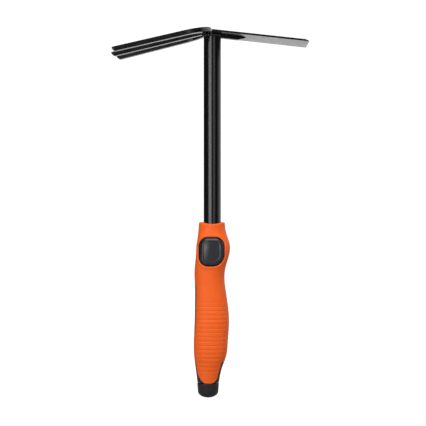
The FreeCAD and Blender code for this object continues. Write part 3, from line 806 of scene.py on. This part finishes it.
def make_button():
    """The button's cap, in rings from the middle of its back round its edge to the middle of its face."""
    outline = window_outline(0.0)
    size = len(outline)
    points = []
    face_depths = spaced((0.0, 0.3, 0.1), (0.3, 5.0, 0.35), (5.0, BUTTON_MIDDLE, 1.4))
    back_depths = spaced((BUTTON_MIDDLE, 0.0, 1.5))
    for depths, side in ((back_depths, "back"), (face_depths, "face")):
        for depth in depths:
            ring = outline * (1 - depth / BUTTON_HALF[0])
            x, z = BUTTON_CENTRE + ring[:, 0], BUTTON_HEIGHT + ring[:, 1]
            y = button_back(x) if side == "back" else button_face(x, z)
            points.extend(zip(x, y, z))
    faces = ring_faces(len(points) // size, size)
    faces.append(tuple(reversed(range(size))))
    faces.append(tuple(range(len(points) - size, len(points))))
    add_piece("release_button_moulded", points, faces, "button", "black_button", "release_button", sharp=60)


def make_plunger():
    """The stub behind the button that pushes the lock pin in, with a rounded end."""
    profile = [(0.0, 0.0)]
    for k in range(7):
        angle = math.pi / 2 * k / 6
        drawn = PLUNGER_ROUND * (1 - math.sin(angle))
        profile.append((PLUNGER_RADIUS - drawn, PLUNGER_ROUND * (1 - math.cos(angle))))
    profile += [(PLUNGER_RADIUS, PLUNGER_LENGTH), (0.0, PLUNGER_LENGTH)]
    points, faces = revolve(profile, 64)
    points = [(x, PLUNGER_TIP - up, BUTTON_HEIGHT + y) for x, y, up in points]
    add_piece("button_plunger_moulded", points, faces, "button", "black_button", "release_button")


def make_bezel():
    """The thin black frame that lines the window round the button."""
    face = ((0.0, 0.55), (0.12, 0.33), (0.3, 0.25), (0.5, 0.27), (0.64, 0.4), (BEZEL_WALL, 0.7))
    section = ((0.0, None), *face, (BEZEL_WALL, None))
    points = []
    for grow, sunk in section:
        outline = window_outline(BUTTON_GAP + grow)
        x, z = BUTTON_CENTRE + outline[:, 0], BUTTON_HEIGHT + outline[:, 1]
        y = np.full(len(x), -BEZEL_BACK) if sunk is None else front_face(x, z) + sunk
        points.extend(zip(x, y, z))
    size = len(points) // len(section)
    faces = ring_faces(len(section), size)
    last = len(points) - size
    faces += [(last + j, last + (j + 1) % size, (j + 1) % size, j) for j in range(size)]
    add_piece("button_bezel_moulded", points, faces, "handle", "black_nylon", "button_bezel")


# Head -----------------------------------------------------------------------------------------------------

BAR_HALF, BAR_THICKNESS, BAR_EDGE, FORGING_DRAFT = 3.5, 5.0, 0.35, 8.0
FORK_HEIGHT, FORK_SLOPE, TINE_SPLAY = 384.1, 13.6, 4.6
BOW_RADIUS, BOW_CROWN = 29.0, -0.3
OUTER_REACH, MIDDLE_REACH = 102.4, 105.2
TIP_BEVEL, TIP_THICKNESS, BUTT_GAP = 2.6, 2.4, 0.3
BLADE_HEIGHT, BLADE_SLOPE, BLADE_THICKNESS = 379.4, 6.2, 2.0
BLADE_ROOT, BLADE_TIP, BLADE_REACH = 24.0, 25.0, 99.4
BLADE_BEVEL, BLADE_EDGE, BLADE_CORNER = 4.0, 0.5, 2.0
RIB_REACH, RIB_TAPER, RIB_BAR_DEPTH, RIB_BAR_HALF, RIB_NOSE = 35.0, 8.0, 3.3, 3.5, 0.6
WELD_RADIUS, WELD_DROP = 1.7, 3.4


def tip_stations(start, ahead, side, length):
    """Stations along a tine from its start to its tip, which is narrowed and cut back underneath."""
    places = [(0.0, 0.0), (length - TIP_BEVEL, 0.0)]
    steps = 4
    places += [(length - TIP_BEVEL * (1 - k / steps), k / steps) for k in range(1, steps + 1)]
    stations = []
    for along, share in places:
        place = (start[0] + ahead[0] * along, start[1] + ahead[1] * along)
        foot = -BAR_THICKNESS + share * (BAR_THICKNESS - TIP_THICKNESS)
        stations.append((place, side, BAR_HALF - share * TIP_BEVEL / 2, 0.0, foot))
    return stations


def rounded_end(stations, radius):
    """Draws the last station's outline in over a short step, so that the end's edges are rounded."""
    place, side, half, top, foot = stations[-1]
    ahead = np.subtract(place, stations[-2][0])
    ahead = ahead / np.linalg.norm(ahead)
    ends = []
    for angle in (0, 30, 60, 90):
        back = radius * (1 - math.sin(math.radians(angle)))
        drawn = radius * (1 - math.cos(math.radians(angle)))
        moved = (place[0] - ahead[0] * back, place[1] - ahead[1] * back)
        ends.append((moved, side, half - drawn, top - drawn, foot + drawn))
    return stations[:-1] + ends


def make_outer_tines():
    """The bar bent into a bow over the tube, with a tine at each end."""
    splay = math.radians(TINE_SPLAY)
    centre = BOW_CROWN - BOW_RADIUS - BAR_HALF
    last = math.pi / 2 - splay
    root = (centre + BOW_RADIUS * math.cos(last), BOW_RADIUS * math.sin(last))
    ahead = (-math.cos(splay), math.sin(splay))
    side = (math.cos(last), math.sin(last))
    length = OUTER_REACH / math.cos(math.radians(FORK_SLOPE)) + root[0]
    near = rounded_end(tip_stations(root, ahead, side, length), 0.5)
    arc = []
    steps = 64
    for k in range(1, steps):
        angle = last * (1 - 2 * k / steps)
        side = (math.cos(angle), math.sin(angle))
        place = (centre + BOW_RADIUS * side[0], BOW_RADIUS * side[1])
        arc.append((place, side, BAR_HALF, 0.0, -BAR_THICKNESS))
    far = [((x, -y), (across, -deep), *rest) for (x, y), (across, deep), *rest in near]
    points, faces = sweep(near[::-1] + arc + far, BAR_EDGE, FORGING_DRAFT)
    points = tilted(points, -FORK_SLOPE, FORK_HEIGHT)
    add_piece("outer_tines_forged", points, faces, "shaft_and_head", "black_paint", "outer_tines")


def make_middle_tine():
    """The straight tine, butted against the inside of the bow."""
    start = (BOW_CROWN - 2 * BAR_HALF - BUTT_GAP, 0)
    length = MIDDLE_REACH / math.cos(math.radians(FORK_SLOPE)) + start[0]
    stations = rounded_end(tip_stations(start, (-1, 0), (0, 1), length), 0.5)
    points, faces = sweep(stations, BAR_EDGE, FORGING_DRAFT)
    points = tilted(points, -FORK_SLOPE, FORK_HEIGHT)
    add_piece("middle_tine_forged", points, faces, "shaft_and_head", "black_paint", "middle_tine")


def make_blade():
    """The plate, a little wider at its front, where its corners are rounded and its edge is ground."""
    start = BOW_CROWN
    reach = BLADE_REACH / math.cos(math.radians(BLADE_SLOPE))
    xs = spaced((start, reach - BLADE_BEVEL, 4.0), (reach - BLADE_BEVEL, reach - BLADE_CORNER, 1.0))
    steps = 8
    corner = [reach - BLADE_CORNER * (1 - math.sin(math.pi / 2 * k / steps)) for k in range(1, steps + 1)]
    stations = []
    for x in [*xs, *corner]:
        half = BLADE_ROOT + (BLADE_TIP - BLADE_ROOT) * (x - start) / (reach - start)
        into = max(0.0, x - (reach - BLADE_CORNER))
        half -= BLADE_CORNER - math.sqrt(max(BLADE_CORNER**2 - into**2, 0))
        ground = max(0.0, x - (reach - BLADE_BEVEL)) / BLADE_BEVEL
        top = -ground * (BLADE_THICKNESS - BLADE_EDGE)
        stations.append(((x, 0), (0, -1), half, top, -BLADE_THICKNESS))
    points, faces = sweep(rounded_end(stations, 0.12), 0.3)
    points = tilted(points, BLADE_SLOPE, BLADE_HEIGHT)
    add_piece("hoe_blade_pressed", points, faces, "shaft_and_head", "black_paint", "hoe_blade", sharp=12)


def make_rib():
    """The bar welded under the blade, tapered away at its end."""
    top = -BLADE_THICKNESS
    stations = []
    for x in (TUBE_RADIUS - 0.6, RIB_REACH - RIB_TAPER, RIB_REACH):
        share = max(0.0, x - (RIB_REACH - RIB_TAPER)) / RIB_TAPER
        depth = RIB_BAR_DEPTH - share * (RIB_BAR_DEPTH - RIB_NOSE)
        stations.append(((x, 0), (0, -1), RIB_BAR_HALF, top + 0.3, top - depth))
    points, faces = sweep(stations, 0.5)
    points = tilted(points, BLADE_SLOPE, BLADE_HEIGHT)
    add_piece("blade_rib_forged", points, faces, "shaft_and_head", "black_paint", "blade_rib")


def make_weld():
    """The bead round the tube's top, with the ripples that its laying leaves."""
    count, steps = 288, 12
    middle = BLADE_HEIGHT - WELD_DROP
    buried = TUBE_RADIUS - 0.5
    points = []
    for k in range(count):
        turn = TAU * k / count
        waves = 0.05 * math.sin(34 * turn + 1.5 * math.sin(3 * turn))
        ripple = 1 + waves - 0.06 * (0.5 + 0.5 * math.sin(5 * turn))
        for j in range(steps + 1):
            angle = -math.pi / 2 + math.pi * j / steps
            radius = buried + (TUBE_RADIUS - buried + WELD_RADIUS * ripple) * math.cos(angle)
            height = middle + WELD_RADIUS * ripple * math.sin(angle)
            points.append((radius * math.cos(turn), radius * math.sin(turn), height))
    size = steps + 1
    faces = []
    for k in range(count):
        after = (k + 1) % count
        for j in range(size):
            up = (j + 1) % size
            faces.append((k * size + j, after * size + j, after * size + up, k * size + up))
    add_piece("head_weld_bead", points, faces, "shaft_and_head", "black_paint", "head_weld", sharp=60)


PIN_HOLE = 3.15
TUBE_EDGE = 0.3
TUBE_SHORT = 370.0  # the height where the tube's coped top begins


def tube_top(turn):
    """The tube is cut off under the fork's bars on one side and under the blade on the other."""
    x = TUBE_RADIUS * np.cos(turn)
    slope = math.radians(FORK_SLOPE)
    fork = FORK_HEIGHT - BAR_THICKNESS / math.cos(slope) + x * math.tan(slope)
    slope = math.radians(BLADE_SLOPE)
    blade = BLADE_HEIGHT - BLADE_THICKNESS / math.cos(slope) - x * math.tan(slope)
    return np.minimum(fork, blade)


def tube_wall(turn, row, radius):
    """One face of the tube; the last row, one past TUBE_SHORT, follows the coped top."""
    share = np.maximum(row - TUBE_SHORT, 0)
    height = np.minimum(row, TUBE_SHORT) + share * (tube_top(turn) - TUBE_SHORT)
    return np.stack([radius * np.cos(turn), radius * np.sin(turn), height], -1)


def make_tube():
    """The shaft, with a hole near its foot for the lock pin."""
    rows = spaced(
        (TUBE_FOOT, TUBE_FOOT + TUBE_EDGE, 0.1),
        (TUBE_FOOT + TUBE_EDGE, BUTTON_HEIGHT - 5.5, 8.0),
        (BUTTON_HEIGHT - 5.5, BUTTON_HEIGHT + 4.5, 0.4),
        (BUTTON_HEIGHT + 4.5, TUBE_SHORT, 10.0),
        (TUBE_SHORT, TUBE_SHORT + 1, 0.25),
    )

    def field(turn, row):
        hole = np.hypot(TUBE_RADIUS * np.cos(turn), row - BUTTON_HEIGHT) - PIN_HOLE
        return np.where(np.sin(turn) < 0, hole, HUGE)

    turn, row, cells = clipped_band(np.arange(160) * TAU / 160, rows, True, field)
    outer = tube_wall(turn, row, TUBE_RADIUS - edge_drop(row - TUBE_FOOT, TUBE_EDGE))
    inner = tube_wall(turn, row, TUBE_RADIUS - TUBE_WALL)
    points, faces = walled(outer, inner, cells)
    add_piece("shaft_tube_drawn", points, faces, "shaft_and_head", "black_paint", "shaft_tube")


# Scene ----------------------------------------------------------------------------------------------------


def finish_cad_nodes():
    """Gives the inner pieces, which keep the CAD's shape, their slot's material and smooth faces."""
    slots = {
        "shaft_end_plug": "black_nylon",
        "snap_clip": "spring_steel",
        "button_springs": "spring_steel",
        "upper_bush": "bush_plastic",
        "lower_bush": "bush_plastic",
        "mouth_seal": "seal_rubber",
        "lock_sleeve": "plated_steel",
        "shell_screws": "plated_steel",
    }
    for name, slot in slots.items():
        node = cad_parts[name]
        node.data.materials.clear()
        node.data.materials.append(MATERIALS[slot])
        node.data.shade_smooth()
        node.data.set_sharp_from_angle(angle=math.radians(35))


def press_back(name, node, body):
    """A copy of a CAD node's mesh as a piece of its own, which rides on a body in place of the hidden node.
    """
    piece = add_object(name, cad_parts[node].data.copy())
    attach(piece, body)
    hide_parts(node)
    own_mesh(piece)


def add_camera():
    camera = bpy.data.cameras.new("camera")
    camera.lens = 105.6
    camera.sensor_width = 36
    holder = add_object("camera", camera)
    holder.location = (0.0051, -1.3, 0.1914)
    holder.rotation_euler = (math.pi / 2, 0, 0)
    bpy.context.scene.camera = holder


def add_softbox(name, azimuth, elevation, distance, width, height, radiance):
    """An area lamp at an azimuth from the camera's side, positive towards +X, aimed at the tool's middle."""
    target = np.array((0.005, 0, 0.2))
    around, up = math.radians(azimuth), math.radians(elevation)
    direction = np.array([math.sin(around) * math.cos(up), -math.cos(around) * math.cos(up), math.sin(up)])
    lamp = bpy.data.lights.new(name, "AREA")
    lamp.shape = "RECTANGLE"
    lamp.size, lamp.size_y = width, height
    lamp.energy = radiance * width * height * math.pi
    holder = add_object(name, lamp)
    holder.location = target + distance * direction
    holder.rotation_euler = (math.pi / 2 - up, 0, around)


WHITE_SIDE = math.radians(138)  # the middle of the white surroundings, as an azimuth from the camera's side


def add_world():
    """White behind the tool and to its right, dark round the camera and to the left, as by black flags."""
    world = bpy.data.worlds.new("studio")
    bpy.context.scene.world = world
    world.use_nodes = True
    tree = world.node_tree
    tree.nodes.clear()
    place = tree.nodes.new("ShaderNodeTexCoord")
    towards = tree.nodes.new("ShaderNodeVectorMath")
    towards.operation = "DOT_PRODUCT"
    towards.inputs[1].default_value = (math.sin(WHITE_SIDE), -math.cos(WHITE_SIDE), 0)
    tree.links.new(place.outputs["Generated"], towards.inputs[0])
    behind = tree.nodes.new("ShaderNodeMapRange")
    behind.interpolation_type = "SMOOTHSTEP"
    behind.inputs["From Min"].default_value = 0.42
    behind.inputs["From Max"].default_value = 0.68
    behind.inputs["To Min"].default_value = 0.03
    behind.inputs["To Max"].default_value = 1.1
    tree.links.new(towards.outputs["Value"], behind.inputs["Value"])
    path = tree.nodes.new("ShaderNodeLightPath")
    seen = tree.nodes.new("ShaderNodeMath")
    seen.operation = "MAXIMUM"
    tree.links.new(behind.outputs["Result"], seen.inputs[0])
    tree.links.new(path.outputs["Is Camera Ray"], seen.inputs[1])
    background = tree.nodes.new("ShaderNodeBackground")
    background.inputs["Color"].default_value = (1, 1, 1, 1)
    tree.links.new(seen.outputs[0], background.inputs["Strength"])
    output = tree.nodes.new("ShaderNodeOutputWorld")
    tree.links.new(background.outputs[0], output.inputs["Surface"])


def add_floor():
    """A white table that the camera sees fully lit, and that lights the tool from below only a little."""
    half, height = 1.5, -0.0006
    corners = [(-half, -half, height), (half, -half, height), (half, half, height), (-half, half, height)]
    mesh = bpy.data.meshes.new("floor")
    mesh.from_pydata(corners, [], [(0, 1, 2, 3)])
    floor = add_object("floor", mesh)
    material = bpy.data.materials.new("lit_table")
    material.use_nodes = True
    tree = material.node_tree
    shader = tree.nodes["Principled BSDF"]
    shader.inputs["Base Color"].default_value = (0.3, 0.3, 0.3, 1)
    shader.inputs["Roughness"].default_value = 0.9
    shader.inputs["Specular IOR Level"].default_value = 0.0
    shader.inputs["Emission Color"].default_value = (1, 1, 1, 1)
    path = tree.nodes.new("ShaderNodeLightPath")
    glow = tree.nodes.new("ShaderNodeMapRange")
    glow.inputs["To Min"].default_value = 0.15
    glow.inputs["To Max"].default_value = 1.0
    tree.links.new(path.outputs["Is Camera Ray"], glow.inputs["Value"])
    tree.links.new(glow.outputs["Result"], shader.inputs["Emission Strength"])
    mesh.materials.append(material)


make_skin()
make_core()
make_pommel()
make_button()
make_plunger()
make_bezel()
make_outer_tines()
make_middle_tine()
make_blade()
make_rib()
make_weld()
make_tube()
finish_cad_nodes()
press_back("button_springs_flexing", "button_springs", "handle")
press_back("snap_clip_flexing", "snap_clip", "shaft_and_head")
add_camera()
add_world()
add_floor()
add_softbox("key", -31, 5, 1.6, 1.05, 0.8, 4.2)
add_softbox("fill", 23, 2, 1.8, 0.75, 1.6, 1.15)
add_softbox("overhead", -8, 62, 1.5, 1.6, 1.1, 4.6)
bpy.context.scene.view_settings.view_transform = "Standard"

bpy.context.view_layer.update()
